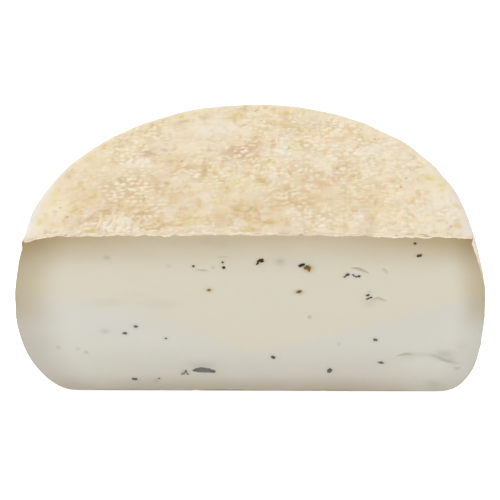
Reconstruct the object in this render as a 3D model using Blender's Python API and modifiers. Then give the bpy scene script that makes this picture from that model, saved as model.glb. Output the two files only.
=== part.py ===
"""Half a wheel of truffle pecorino, standing on its flat base with the cut face towards -Y.

A whole wheel is turned from its outline, made as uneven as a hand-pressed cheese, and halved with one
knife cut. Eyes are then sunk into the cut face, and the truffle flakes that show there are fused to it.
The origin is under the middle of the half wheel, on the surface that it stands on.
"""

import math

import bmesh
import bpy
from mathutils import Matrix, Vector, noise

# The wheel, in metres. The left and right values are those at the two ends of the cut.
WIDEST_RADIUS = 0.085
HEIGHT = 0.075
TOP_EDGE_RADIUS = 0.0796
SHOULDER_LEFT, SHOULDER_RIGHT = 0.0046, 0.0034
WIDEST_HEIGHT_LEFT, WIDEST_HEIGHT_RIGHT = 0.0341, 0.0417
FOOT_RADIUS_LEFT, FOOT_RADIUS_RIGHT = 0.0662, 0.0687
FOOT_FULLNESS_LEFT, FOOT_FULLNESS_RIGHT = 1.92, 2.65
DEPTH_STRETCH = 1.03

# The shoulder has sunk a little at the left end of the cut.
SUNK_PLACE = (-0.078, 0.0)
SUNK_SPREAD = (0.0055, 0.012)
SUNK_DEPTH = 0.0022

# The relief that the draining cloth left in the rind.
LUMP_SIZE = 0.0105
LUMP_HEIGHT_TOP, LUMP_HEIGHT_SIDE = 0.0005, 0.00028
FINE_LUMP_SHARE = 0.4
SMOOTH_MIDDLE_RADIUS = 0.03
PLEATS_ROUND_WHEEL = 30
PLEAT_HEIGHT = 0.00016
SMOOTH_FOOT_HEIGHT = 0.012

# The burr that the knife left along the top edge of the cut.
LIP_DEPTH = 0.0012
LIP_FORWARD = 0.0007
LIP_WAVE_LENGTH = 0.006
LIP_POINT_SPACING = 0.0006

# How finely the wheel is turned.
TURN_STEPS = 144
TOP_RINGS = 22
SHOULDER_POINTS = 4
SIDE_SPACING = 0.0036
DENSE_POINTS = 200
SAME_POINT = 0.00001
HAIR = 0.00006

# Truffle flakes on the cut face, in millimetres and degrees:
# across from the axis, up from the base, length, thickness, and turn of the long side.
TRUFFLE_FLAKES = [
    (4.8, 63.3, 3.1, 1.9, 30),
    (19.2, 61.7, 2.9, 1.7, 14),
    (21.3, 60.4, 2.4, 1.9, -35),
    (18.4, 49.2, 2.3, 1.2, 15),
    (35.5, 56.9, 2.1, 1.2, 32),
    (39.1, 56.5, 2.6, 1.2, -6),
    (43.1, 47.1, 2.3, 1.0, -38),
    (43.4, 45.9, 2.5, 1.1, 30),
    (60.9, 66.0, 2.3, 1.3, 16),
    (-8.3, 60.5, 1.5, 1.4, 60),
    (-16.0, 59.3, 2.6, 1.0, -4),
    (-14.0, 49.8, 1.8, 1.1, 12),
    (-41.6, 32.2, 1.6, 1.3, -20),
    (-45.8, 28.9, 1.8, 1.2, 8),
    (-30.8, 26.4, 1.7, 1.2, 5),
    (46.0, 25.9, 1.6, 1.3, -25),
    (8.4, 17.0, 1.9, 1.6, -30),
    (48.1, 14.5, 2.7, 1.2, -8),
    (-17.7, 10.5, 8.4, 2.9, -4),
    (-24.3, 9.6, 2.6, 1.5, 25),
    (29.2, 10.3, 2.1, 1.9, 70),
    (-43.6, 5.7, 2.4, 1.5, -10),
]
FLAKE_STANDS_PROUD = 0.00035
FLAKE_ROUGHNESS = 0.22

# Slits in the paste: across, up, length, opening, turn, in the same units.
EYES = [
    (39.8, 59.9, 4.6, 1.5, -14),
    (46.8, 46.1, 3.8, 1.2, -10),
    (49.0, 59.3, 2.4, 1.0, -25),
    (55.6, 19.2, 4.4, 1.3, 24),
    (-8.4, 65.5, 2.4, 0.9, 8),
]
EYE_DEPTH = 0.0007

# The swelling low on the right of the cut, where the knife dragged the soft paste.
SMEAR_PLACE = (0.0655, 0.0105)
SMEAR_HALF_SIZE = (0.0125, 0.0095)
SMEAR_STANDS_PROUD = 0.0009
SMEAR_BODY_DEPTH = 0.004

RIND_COLOUR = (0.80, 0.66, 0.43, 1.0)
PASTE_COLOUR = (0.79, 0.74, 0.58, 1.0)
TRUFFLE_COLOUR = (0.045, 0.033, 0.026, 1.0)


def clear_scene():
    """Empties the scene of every object."""
    for obj in list(bpy.data.objects):
        bpy.data.objects.remove(obj, do_unlink=True)


def new_collection(name):
    """A collection linked into the scene."""
    collection = bpy.data.collections.new(name)
    bpy.context.scene.collection.children.link(collection)
    return collection


def make_material(name, colour, roughness):
    """A Principled material of one colour."""
    material = bpy.data.materials.new(name)
    material.use_nodes = True
    shader = material.node_tree.nodes["Principled BSDF"]
    shader.inputs["Base Color"].default_value = colour
    shader.inputs["Roughness"].default_value = roughness
    shader.inputs["Metallic"].default_value = 0.0
    return material


def mix(left, right, right_share):
    """The value between left and right."""
    return left + (right - left) * right_share


def side_radius(height, right_share):
    """Radius of the wheel at a height. right_share is 0 at the left end of the cut and 1 at the right."""
    widest_height = mix(WIDEST_HEIGHT_LEFT, WIDEST_HEIGHT_RIGHT, right_share)
    shoulder = mix(SHOULDER_LEFT, SHOULDER_RIGHT, right_share)
    edge_height = HEIGHT - shoulder
    if height >= edge_height:
        rise = min(height - edge_height, shoulder)
        return TOP_EDGE_RADIUS - shoulder + math.sqrt(shoulder**2 - rise**2)
    if height >= widest_height:
        share = (height - widest_height) / (edge_height - widest_height)
        return WIDEST_RADIUS - (WIDEST_RADIUS - TOP_EDGE_RADIUS) * share**2
    foot = mix(FOOT_RADIUS_LEFT, FOOT_RADIUS_RIGHT, right_share)
    fullness = mix(FOOT_FULLNESS_LEFT, FOOT_FULLNESS_RIGHT, right_share)
    drop = min(1.0, (widest_height - height) / widest_height)
    return foot + (WIDEST_RADIUS - foot) * (1 - drop**fullness) ** (1 / fullness)


def evenly_spaced(points, spacing):
    """The same line with its points about spacing apart."""
    reached = [0.0]
    for before, after in zip(points, points[1:]):
        reached.append(reached[-1] + math.dist(before, after))
    count = max(2, round(reached[-1] / spacing))
    spaced = []
    for step in range(count + 1):
        wanted = reached[-1] * step / count
        index = next(i for i in range(1, len(points)) if reached[i] >= wanted - SAME_POINT)
        share = (wanted - reached[index - 1]) / (reached[index] - reached[index - 1])
        start, end = points[index - 1], points[index]
        spaced.append((mix(start[0], end[0], share), mix(start[1], end[1], share)))
    return spaced


def wheel_outline():
    """(radius, height) points of the even wheel, from the middle of the top to the middle of the base."""
    shoulder = mix(SHOULDER_LEFT, SHOULDER_RIGHT, 0.5)
    flat_radius = TOP_EDGE_RADIUS - shoulder
    top = [(flat_radius * (ring / TOP_RINGS) ** 0.85, HEIGHT) for ring in range(TOP_RINGS + 1)]
    rounding = []
    for point in range(1, SHOULDER_POINTS + 1):
        turn = math.pi / 2 * point / SHOULDER_POINTS
        rounding.append((flat_radius + shoulder * math.sin(turn), HEIGHT - shoulder * (1 - math.cos(turn))))
    heights = [(HEIGHT - shoulder) * (1 - (i / DENSE_POINTS) ** 1.5) for i in range(DENSE_POINTS)]
    foot = mix(FOOT_RADIUS_LEFT, FOOT_RADIUS_RIGHT, 0.5)
    side = [(side_radius(height, 0.5), height) for height in heights] + [(foot, 0.0)]
    return top + rounding + evenly_spaced(side, SIDE_SPACING)[1:] + [(foot * 0.5, 0.0), (0.0, 0.0)]


def turned_wheel(outline, collection):
    """The even wheel: the outline with a Screw modifier, turned all the way round."""
    mesh = bpy.data.meshes.new("wheel_outline")
    edges = [(i, i + 1) for i in range(len(outline) - 1)]
    mesh.from_pydata([(radius, 0.0, height) for radius, height in outline], edges, [])
    wheel = bpy.data.objects.new("wheel", mesh)
    collection.objects.link(wheel)
    screw = wheel.modifiers.new("turn", "SCREW")
    screw.steps = screw.render_steps = TURN_STEPS
    screw.use_merge_vertices = True
    screw.merge_threshold = SAME_POINT
    screw.use_normal_calculate = True
    return wheel


def apply_modifiers(obj):
    """Gives the object the mesh that its modifiers make, and removes them."""
    graph = bpy.context.evaluated_depsgraph_get()
    mesh = bpy.data.meshes.new_from_object(obj.evaluated_get(graph))
    obj.modifiers.clear()
    obj.data = mesh
    return mesh


def hand_made(place):
    """Where a point of the even wheel lies on the real, lopsided one."""
    right_share = (1 + math.cos(math.atan2(place.y, place.x))) / 2
    stretch = side_radius(place.z, right_share) / side_radius(place.z, 0.5)
    return Vector((place.x * stretch, place.y * stretch * DEPTH_STRETCH, place.z))


def sunk_shoulder(place):
    """How far the top lies lower at a point of the real wheel, near the left end of the cut."""
    across = (place.x - SUNK_PLACE[0]) / SUNK_SPREAD[0]
    back = (place.y - SUNK_PLACE[1]) / SUNK_SPREAD[1]
    return SUNK_DEPTH * math.exp(-(across**2) - back**2) * max(0.0, place.z / HEIGHT) ** 4


def ramp(value, start, end):
    """0 up to start, 1 from end on, and even in between."""
    return min(1.0, max(0.0, (value - start) / (end - start)))


def rind_relief(place):
    """How far the rind stands out at a point: rounded lumps, and upright pleats of the cloth on the side."""
    radius = math.hypot(place.x, place.y)
    on_side = ramp(radius, TOP_EDGE_RADIUS - SHOULDER_LEFT, TOP_EDGE_RADIUS)
    fine = FINE_LUMP_SHARE * ramp(radius, 0.0, SMOOTH_MIDDLE_RADIUS)
    lumps = noise.noise(place / LUMP_SIZE) + fine * noise.noise(place / LUMP_SIZE * 2.1)
    turn = math.atan2(place.y, place.x) + 0.12 * noise.noise(place / 0.03)
    patch = max(0.0, noise.noise(place / 0.035 + Vector((7, 3, 1))) + 0.35)
    pleats = math.cos(PLEATS_ROUND_WHEEL * turn) * patch
    return mix(LUMP_HEIGHT_TOP, LUMP_HEIGHT_SIDE, on_side) * lumps + PLEAT_HEIGHT * pleats * on_side


def press_in_cloth(mesh):
    """Makes the even wheel uneven, then gives its rind the relief of the cloth. The base stays flat.

    The wheel is first turned by half a step, so that no row of its points lies where the knife will go.
    """
    bm = bmesh.new()
    bm.from_mesh(mesh)
    bmesh.ops.rotate(bm, verts=bm.verts, matrix=Matrix.Rotation(math.pi / TURN_STEPS, 3, "Z"))
    for vert in bm.verts:
        vert.co = hand_made(vert.co)
    bm.normal_update()
    moves = []
    for vert in bm.verts:
        free = ramp(vert.co.z, SAME_POINT, SMOOTH_FOOT_HEIGHT)
        sunk = Vector((0.0, 0.0, sunk_shoulder(vert.co)))
        moves.append((vert.normal * rind_relief(vert.co) - sunk) * free)
    for vert, move in zip(bm.verts, moves):
        vert.co += move
    bm.to_mesh(mesh)
    bm.free()


def knife(collection, material):
    """The block whose back face is the cut: all of the wheel in front of the axis goes."""
    size = 4 * WIDEST_RADIUS
    bpy.ops.mesh.primitive_cube_add(size=size, location=(0, -size / 2, HEIGHT / 2))
    return place_in(collection, bpy.context.object, "knife", material)


def draw_out_lip(mesh):
    """Bends the top edge of the cut forward in an uneven burr, above a band as deep as the rind is thick."""
    bm = bmesh.new()
    bm.from_mesh(mesh)
    bm.normal_update()
    cut = max(bm.faces, key=lambda face: len(face.verts))
    bmesh.ops.remove_doubles(bm, verts=cut.verts, dist=LIP_POINT_SPACING)
    cut = max(bm.faces, key=lambda face: len(face.verts))
    edge = [vert for vert in cut.verts if vert.co.z > HEIGHT - SHOULDER_LEFT]
    band = bmesh.ops.inset_individual(bm, faces=[cut], thickness=LIP_DEPTH, use_even_offset=True)
    for face in band["faces"]:
        face.material_index = 0
    for vert in edge:
        wave = noise.noise(Vector((vert.co.x / LIP_WAVE_LENGTH, 0.0, 0.0)))
        vert.co.y -= LIP_FORWARD * (0.6 + 0.6 * wave)
        vert.co.z += LIP_FORWARD * 0.4 * wave
    bm.to_mesh(mesh)
    bm.free()


def place_in(collection, obj, name, material):
    """Names an object, gives it its material and moves it to a collection."""
    obj.name = name
    obj.data.materials.append(material)
    for old in list(obj.users_collection):
        old.objects.unlink(obj)
    collection.objects.link(obj)
    return obj


def lump_on_cut(name, across, up, half_size, turn, collection, material):
    """A flattened ball with its middle on the cut face. half_size is along, out of and across the face."""
    bpy.ops.mesh.primitive_ico_sphere_add(subdivisions=2, radius=1.0)
    lump = place_in(collection, bpy.context.object, name, material)
    for vert in lump.data.vertices:
        vert.co = Vector(c * size for c, size in zip(vert.co, half_size))
    lump.location = (across, 0.0, up)
    lump.rotation_euler = (0.0, -math.radians(turn), 0.0)
    return lump


def roughen(lump, seed):
    """Makes a flake angular, as a chopped piece of truffle is."""
    for vert in lump.data.vertices:
        shift = noise.noise(vert.co.normalized() * 1.4 + Vector((seed * 3.7, seed * 1.3, 0.5)))
        vert.co *= 1 + FLAKE_ROUGHNESS * 2 * shift


def add_flakes(collection, material):
    """One lump for each truffle flake of the cut face."""
    for index, (across, up, length, thickness, turn) in enumerate(TRUFFLE_FLAKES):
        half_size = (length / 2000, FLAKE_STANDS_PROUD, thickness / 2000)
        flake = lump_on_cut(f"flake_{index}", across / 1000, up / 1000, half_size, turn, collection, material)
        roughen(flake, index + 1)


def add_smear(collection, material):
    """The swelling of soft paste at the lower right: most of a flattened ball lies behind the cut face."""
    half_size = (SMEAR_HALF_SIZE[0], SMEAR_BODY_DEPTH, SMEAR_HALF_SIZE[1])
    smear = lump_on_cut("smear", *SMEAR_PLACE, half_size, -8, collection, material)
    smear.location.y = SMEAR_BODY_DEPTH - SMEAR_STANDS_PROUD


def add_eyes(collection, material):
    """One cutter for each slit in the paste."""
    for index, (across, up, length, opening, turn) in enumerate(EYES):
        half_size = (length / 2000, EYE_DEPTH, opening / 2000)
        lump_on_cut(f"eye_{index}", across / 1000, up / 1000, half_size, turn, collection, material)


def combine(obj, operation, collection):
    """Cuts away or joins on every object of a collection, which is then emptied."""
    boolean = obj.modifiers.new(operation.lower(), "BOOLEAN")
    boolean.operation = operation
    boolean.operand_type = "COLLECTION"
    boolean.collection = collection
    boolean.solver = "EXACT"
    boolean.material_mode = "TRANSFER"
    apply_modifiers(obj)
    for used in list(collection.objects):
        bpy.data.objects.remove(used, do_unlink=True)


def merge_slivers(mesh):
    """Merges the points that the cuts and joins left closer together than a hair."""
    bm = bmesh.new()
    bm.from_mesh(mesh)
    bmesh.ops.remove_doubles(bm, verts=bm.verts, dist=HAIR)
    bm.to_mesh(mesh)
    bm.free()


def centre_on_base(mesh):
    """Moves the mesh so that the origin is under the middle of its box, on the base."""
    corners = [vert.co for vert in mesh.vertices]
    middle = [(min(c[axis] for c in corners) + max(c[axis] for c in corners)) / 2 for axis in range(2)]
    mesh.transform(Matrix.Translation((-middle[0], -middle[1], 0.0)))


def main():
    clear_scene()
    cheese_collection = new_collection("truffle_pecorino")
    cutters = new_collection("cutters")
    cutters.hide_render = True
    joined = new_collection("joined")
    rind = make_material("rind", RIND_COLOUR, 0.75)
    paste = make_material("paste", PASTE_COLOUR, 0.5)
    truffle = make_material("truffle", TRUFFLE_COLOUR, 0.6)

    cheese = turned_wheel(wheel_outline(), cheese_collection)
    cheese.name = "pecorino_half_wheel"
    cheese.data.materials.append(rind)
    press_in_cloth(apply_modifiers(cheese))

    knife(cutters, paste)
    combine(cheese, "DIFFERENCE", cutters)
    draw_out_lip(cheese.data)
    add_smear(joined, paste)
    combine(cheese, "UNION", joined)
    add_eyes(cutters, paste)
    combine(cheese, "DIFFERENCE", cutters)
    add_flakes(joined, truffle)
    combine(cheese, "UNION", joined)

    merge_slivers(cheese.data)
    centre_on_base(cheese.data)
    cheese.data.shade_smooth()
    cheese.data.set_sharp_from_angle(angle=math.radians(40))


main()
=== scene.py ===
"""Looks of the half wheel of truffle pecorino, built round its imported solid.

Closed pieces stand for the solid: the paste with its cut face, the rind of the top, the side and the base,
the rough edge that the knife left on the rind, and the truffle flakes. Sizes are in metres unless a comment
says otherwise. Shapes are worked out with the wheel's axis at x 0 and y 0 and the cut on y 0, and then moved
back to where the solid's cut plane is.
"""

import math

import bmesh
import bpy
from mathutils import Matrix, Vector, noise


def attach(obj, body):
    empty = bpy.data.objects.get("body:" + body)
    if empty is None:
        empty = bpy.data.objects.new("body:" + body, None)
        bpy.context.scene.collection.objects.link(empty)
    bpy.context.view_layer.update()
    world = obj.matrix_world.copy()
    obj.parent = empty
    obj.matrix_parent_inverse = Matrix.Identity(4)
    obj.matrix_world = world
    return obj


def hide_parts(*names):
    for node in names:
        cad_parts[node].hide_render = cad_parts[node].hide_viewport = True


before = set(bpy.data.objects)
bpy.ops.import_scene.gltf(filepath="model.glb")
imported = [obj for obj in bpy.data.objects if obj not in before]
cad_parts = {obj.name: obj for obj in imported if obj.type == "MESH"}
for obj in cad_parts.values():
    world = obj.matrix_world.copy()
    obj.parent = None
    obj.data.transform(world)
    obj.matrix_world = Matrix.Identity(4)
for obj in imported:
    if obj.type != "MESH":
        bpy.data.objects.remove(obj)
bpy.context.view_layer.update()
SOLID = "pecorino_half_wheel"

# The wheel, as in the solid. The left and right values are those at the two ends of the cut.
WIDEST_RADIUS = 0.085
HEIGHT = 0.075
TOP_EDGE_RADIUS = 0.0796
SHOULDER_LEFT, SHOULDER_RIGHT = 0.0046, 0.0034
WIDEST_HEIGHT_LEFT, WIDEST_HEIGHT_RIGHT = 0.0341, 0.0417
FOOT_RADIUS_LEFT, FOOT_RADIUS_RIGHT = 0.0662, 0.0687
FOOT_FULLNESS_LEFT, FOOT_FULLNESS_RIGHT = 1.92, 2.65
DEPTH_STRETCH = 1.03
SUNK_PLACE = (-0.0805, 0.0)
SUNK_SPREAD = (0.0060, 0.012)
SUNK_DEPTH = 0.0019
DOME_HEIGHT = 0.0012

# The knife leaves the top's edge sharp at the cut. Further back it is as round as in the solid.
SHARP_EDGE_DEPTH = 0.009
SHARP_EDGE_POWER = 6

# The low relief of the solid's rind.
LUMP_SIZE = 0.0105
LUMP_HEIGHT_TOP, LUMP_HEIGHT_SIDE = 0.0005, 0.00028
FINE_LUMP_SHARE = 0.4
SMOOTH_MIDDLE_RADIUS = 0.03
PLEATS_ROUND_WHEEL = 30
PLEAT_HEIGHT = 0.00016
SMOOTH_FOOT_HEIGHT = 0.012
SAME_POINT = 0.00001

# The fine marks of the draining cloth: beads between its threads, winding folds, creases and small holes.
BEAD_PITCH = (0.0022, 0.0021)
BEAD_JITTER = 0.7
BEAD_HALF_SIZE = (0.00112, 0.00088)
BEAD_SIZES = (0.75, 1.3)
BEAD_FULLNESS = 1.5
MISSING_BEADS = 0.2
LOWEST_BEAD = 0.4
BEAD_HEIGHT = 0.0006
FOLD_SIZE = (0.0034, 0.0085)
FOLD_HEIGHT = 0.0010
CREASE_SIZE = (0.009, 0.0018)
CREASE_DEPTH = 0.0002
PIT_PITCH = 0.017
PIT_RADIUS, TOP_PIT_RADIUS = 0.0007, 0.00063
PIT_SIZES = (0.5, 1.1)
PIT_DEPTH = 0.00035
GRAIN_SIZE = 0.0009
GRAIN_HEIGHT = 0.00006
BASE_DIP = 0.00025
BASE_RIM = 0.004

# Over what lengths the marks come and go, and how far they sway from straight rows.
MARK_PATCH_SIZE = 0.014
SWAY_SIZE = 0.005
TOP_SWAY, BEAD_SWAY = 0.002, 0.0012
SHOULDER_FADE = 0.002
TOP_FADE_START, TOP_FADE_END = 0.016, 0.004
CUT_FADE = 0.012
LEAST_MARKS = 0.15

# A soft spot is nothing past this, the square of the distance in half sizes.
SPOT_REACH = 6

# How thick the rind pieces are, and how finely each piece is divided.
RIND_THICKNESS = 0.0013
RIND_BEHIND_CUT = 0.0003
SEAM_BELOW_SHOULDER = 0.0025
OUTLINE_SPACING, SIDE_SPACING, PASTE_SPACING = 0.0004, 0.0005, 0.00046
TOP_CELLS = 204
SIDE_STEPS = 540
INSIDE_POINTS = 16
BASE_CELLS = 110
PASTE_COLUMNS = 400
PASTE_SLAB_DEPTH = 0.010
PASTE_BEHIND_RIND = 0.0007
EDGE_LOOP_STEPS = 1300
EDGE_RING_STEPS = 12

# The photograph's view. The target is on the cut plane.
VIEW_TARGET = (0.00129, 0.0, 0.06862)
VIEW_DISTANCE = 0.700
VIEW_ELEVATION = 39.74
VIEW_AZIMUTH = 3.29
VIEW_ROLL = 2.07
VIEW_LENS = 142.75
SENSOR_WIDTH = 36.0


def mix(left, right, right_share):
    """The value between left and right."""
    return left + (right - left) * right_share


def ramp(value, start, end):
    """0 up to start, 1 from end on, and even in between."""
    return min(1.0, max(0.0, (value - start) / (end - start)))


def soft(value, start, end):
    """Like ramp, but eased in and out."""
    share = ramp(value, start, end)
    return share * share * (3 - 2 * share)


def read_off(line, value):
    """The number that a line of (value, number) points gives, straight between them."""
    if value <= line[0][0]:
        return line[0][1]
    for (start, first), (end, second) in zip(line, line[1:]):
        if value <= end:
            return mix(first, second, (value - start) / (end - start))
    return line[-1][1]


def blot(across, up, spots):
    """The strongest of some soft oval spots: (across, up, half width, half height, strength), in mm."""
    strongest = 0.0
    for middle_x, middle_z, half_width, half_height, strength in spots:
        gap = ((across - middle_x) / half_width) ** 2 + ((up - middle_z) / half_height) ** 2
        if gap < SPOT_REACH:
            strongest = max(strongest, strength * math.exp(-gap))
    return strongest


def near_line(across, up, points):
    """(gap, share): distance from a line of points, and how far along it, 0 to 1, its nearest place is."""
    best_gap, best_share = math.inf, 0.0
    pieces = len(points) - 1
    for index in range(pieces):
        (start_x, start_z), (end_x, end_z) = points[index], points[index + 1]
        run_x, run_z = end_x - start_x, end_z - start_z
        share = ramp((across - start_x) * run_x + (up - start_z) * run_z, 0.0, run_x**2 + run_z**2)
        gap = math.hypot(across - start_x - run_x * share, up - start_z - run_z * share)
        if gap < best_gap:
            best_gap, best_share = gap, (index + share) / pieces
    return best_gap, best_share


def side_radius(height, right_share):
    """Radius of the wheel at a height. right_share is 0 at the left end of the cut and 1 at the right."""
    widest_height = mix(WIDEST_HEIGHT_LEFT, WIDEST_HEIGHT_RIGHT, right_share)
    shoulder = mix(SHOULDER_LEFT, SHOULDER_RIGHT, right_share)
    edge_height = HEIGHT - shoulder
    if height >= edge_height:
        rise = min(height - edge_height, shoulder)
        return TOP_EDGE_RADIUS - shoulder + math.sqrt(shoulder**2 - rise**2)
    if height >= widest_height:
        share = (height - widest_height) / (edge_height - widest_height)
        return WIDEST_RADIUS - (WIDEST_RADIUS - TOP_EDGE_RADIUS) * share**2
    foot = mix(FOOT_RADIUS_LEFT, FOOT_RADIUS_RIGHT, right_share)
    fullness = mix(FOOT_FULLNESS_LEFT, FOOT_FULLNESS_RIGHT, right_share)
    drop = min(1.0, (widest_height - height) / widest_height)
    return foot + (WIDEST_RADIUS - foot) * (1 - drop**fullness) ** (1 / fullness)


def evenly_spaced(points, spacing):
    """The same line with its points about spacing apart, and the distance between them."""
    reached = [0.0]
    for before, after in zip(points, points[1:]):
        reached.append(reached[-1] + math.dist(before, after))
    count = round(reached[-1] / spacing)
    spaced = []
    index = 1
    for step in range(count + 1):
        wanted = reached[-1] * step / count
        while index < len(points) - 1 and reached[index] < wanted:
            index += 1
        share = (wanted - reached[index - 1]) / (reached[index] - reached[index - 1])
        start, end = points[index - 1], points[index]
        spaced.append((mix(start[0], end[0], share), mix(start[1], end[1], share)))
    return spaced, reached[-1] / count


SHOULDER = mix(SHOULDER_LEFT, SHOULDER_RIGHT, 0.5)
FLAT_RADIUS = TOP_EDGE_RADIUS - SHOULDER
FOOT_RADIUS = mix(FOOT_RADIUS_LEFT, FOOT_RADIUS_RIGHT, 0.5)
SHOULDER_POINTS = 40
SIDE_POINTS = 500


def even_outline():
    """(radius, height) of the even wheel, from the top's middle down the side to the base's middle."""
    rounding = []
    for point in range(SHOULDER_POINTS + 1):
        turn = math.pi / 2 * point / SHOULDER_POINTS
        rounding.append((FLAT_RADIUS + SHOULDER * math.sin(turn), HEIGHT - SHOULDER * (1 - math.cos(turn))))
    heights = [(HEIGHT - SHOULDER) * (1 - (i / SIDE_POINTS) ** 1.5) for i in range(1, SIDE_POINTS)]
    side = [(side_radius(height, 0.5), height) for height in heights]
    return [(0.0, HEIGHT)] + rounding + side + [(FOOT_RADIUS, 0.0), (0.0, 0.0)]


OUTLINE, OUTLINE_STEP = evenly_spaced(even_outline(), OUTLINE_SPACING)
WHOLE_RUN = OUTLINE_STEP * (len(OUTLINE) - 1)
FOOT_RUN = WHOLE_RUN - FOOT_RADIUS
SHOULDER_RUN = FLAT_RADIUS + SHOULDER * math.pi / 2
CORNER_RUN = FLAT_RADIUS + SHOULDER * math.pi / 4
SEAM_RUN = SHOULDER_RUN + SEAM_BELOW_SHOULDER


def outline_at(run):
    """(radius, height) at a distance along the even wheel's outline."""
    steps = min(run, WHOLE_RUN) / OUTLINE_STEP
    index = min(int(steps), len(OUTLINE) - 2)
    start, end = OUTLINE[index], OUTLINE[index + 1]
    return mix(start[0], end[0], steps - index), mix(start[1], end[1], steps - index)


def even_point(run, turn):
    """The point of the even wheel at a distance along its outline and a turn about its axis."""
    radius, height = outline_at(run)
    return Vector((radius * math.cos(turn), radius * math.sin(turn), height))


def sharpened(even):
    """The even point, moved out towards a square corner where it lies on the rounded edge near the cut."""
    radius = math.hypot(even.x, even.y)
    near_cut = 1 - soft(even.y, 0.0, SHARP_EDGE_DEPTH)
    out, rise = (radius - FLAT_RADIUS) / SHOULDER, (even.z - HEIGHT) / SHOULDER + 1
    if near_cut == 0.0 or out <= 0 or rise <= 0:
        return even
    corner = (out**SHARP_EDGE_POWER + rise**SHARP_EDGE_POWER) ** (-1 / SHARP_EDGE_POWER)
    move = near_cut * (corner - 1 / math.hypot(out, rise)) * SHOULDER
    stretch = 1 + move * out / radius
    return Vector((even.x * stretch, even.y * stretch, even.z + move * rise))


def hand_made(even):
    """Where a point of the even wheel lies on the real, lopsided one."""
    right_share = (1 + math.cos(math.atan2(even.y, even.x))) / 2
    stretch = side_radius(even.z, right_share) / side_radius(even.z, 0.5)
    even = sharpened(even)
    return Vector((even.x * stretch, even.y * stretch * DEPTH_STRETCH, even.z))


SLOPE_STEP = 0.00005


def facing(even):
    """The outward direction of the even wheel at a point of its surface."""
    if even.z > HEIGHT - SLOPE_STEP:
        return Vector((0.0, 0.0, 1.0))
    if even.z < SLOPE_STEP:
        return Vector((0.0, 0.0, -1.0))
    rise = side_radius(even.z + SLOPE_STEP, 0.5) - side_radius(even.z - SLOPE_STEP, 0.5)
    turn = math.atan2(even.y, even.x)
    return Vector((math.cos(turn), math.sin(turn), -rise / (2 * SLOPE_STEP))).normalized()


def top_drop(place):
    """How much lower the real wheel's top lies at a point: sunk at the cut's left end, and domed."""
    across = (place.x - SUNK_PLACE[0]) / SUNK_SPREAD[0]
    back = (place.y - SUNK_PLACE[1]) / SUNK_SPREAD[1]
    sunk = SUNK_DEPTH * math.exp(-(across**4) - back**2)
    dome = DOME_HEIGHT * max(0.0, 1 - (math.hypot(place.x, place.y) / TOP_EDGE_RADIUS) ** 4)
    return (sunk - dome) * max(0.0, place.z / HEIGHT) ** 4


def solid_relief(place):
    """How far the solid's rind stands out at a point: lumps, and upright pleats of the cloth on the side."""
    radius = math.hypot(place.x, place.y)
    on_side = ramp(radius, TOP_EDGE_RADIUS - SHOULDER_LEFT, TOP_EDGE_RADIUS)
    fine = FINE_LUMP_SHARE * ramp(radius, 0.0, SMOOTH_MIDDLE_RADIUS)
    lumps = noise.noise(place / LUMP_SIZE) + fine * noise.noise(place / LUMP_SIZE * 2.1)
    turn = math.atan2(place.y, place.x) + 0.12 * noise.noise(place / 0.03)
    patch = max(0.0, noise.noise(place / 0.035 + Vector((7, 3, 1))) + 0.35)
    pleats = math.cos(PLEATS_ROUND_WHEEL * turn) * patch
    return mix(LUMP_HEIGHT_TOP, LUMP_HEIGHT_SIDE, on_side) * lumps + PLEAT_HEIGHT * pleats * on_side


# Where the top's marks lie: millimetres across from the axis and back from the cut, half width, half depth
# and strength.
BEADED = [
    (-42, 24, 13, 14, 1), (-2, 46, 11, 12, 1), (40, 42, 14, 16, 0.7), (20, 30, 12, 16, 0.6),
    (-22, 36, 14, 10, 0.6), (36, 8, 20, 6, 0.5), (-36, 60, 8, 8, 0.7), (12, 66, 14, 8, 0.6),
]
FOLDED = [(-49, 8, 11, 6, 1), (-36, 9, 7, 5, 0.5), (40, 10, 8, 6, 0.4), (-56, 19, 5, 6, 0.5)]
SMOOTH = [
    (-67, 15, 9, 11, 1), (66, 24, 14, 14, 0.7), (-17, 62, 10, 7, 0.7), (-8, 14, 9, 7, 0.5),
    (4, 10, 7, 6, 0.7), (55, 48, 8, 8, 0.4), (-56, 42, 6, 8, 0.4),
]
WINDING_GROOVE = [(-5, 15), (-3, 13), (0, 12), (2, 15), (4, 13), (5, 8), (7, 6), (9, 6)]
GROOVE_HALF_WIDTH = 1.5
GROOVE_DEPTH = 0.00025
RIDGES = [
    [(-58, 7), (-56, 10), (-51, 13)], [(-53, 3), (-51, 11)], [(-50, 2), (-48, 12), (-47, 16)],
    [(-47, 3), (-46, 10)], [(-44, 4), (-44, 11)], [(-42, 3), (-41, 8)], [(-38, 4), (-36, 9)],
    [(-33, 3), (-30, 5)], [(-40, 12), (-35, 12)],
]
RIDGE_HALF_WIDTH = 1.05
RIDGES_REACH = (-62, -27, 19)
MARKS = ("raised", "hollow", "gaps")
TOP_PITS = [
    (-67, 15), (-64, 10), (46, 57), (38, 33), (57, 32), (32, 38), (55, 27), (-2, 54), (-25, 42), (72, 5),
]


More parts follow.
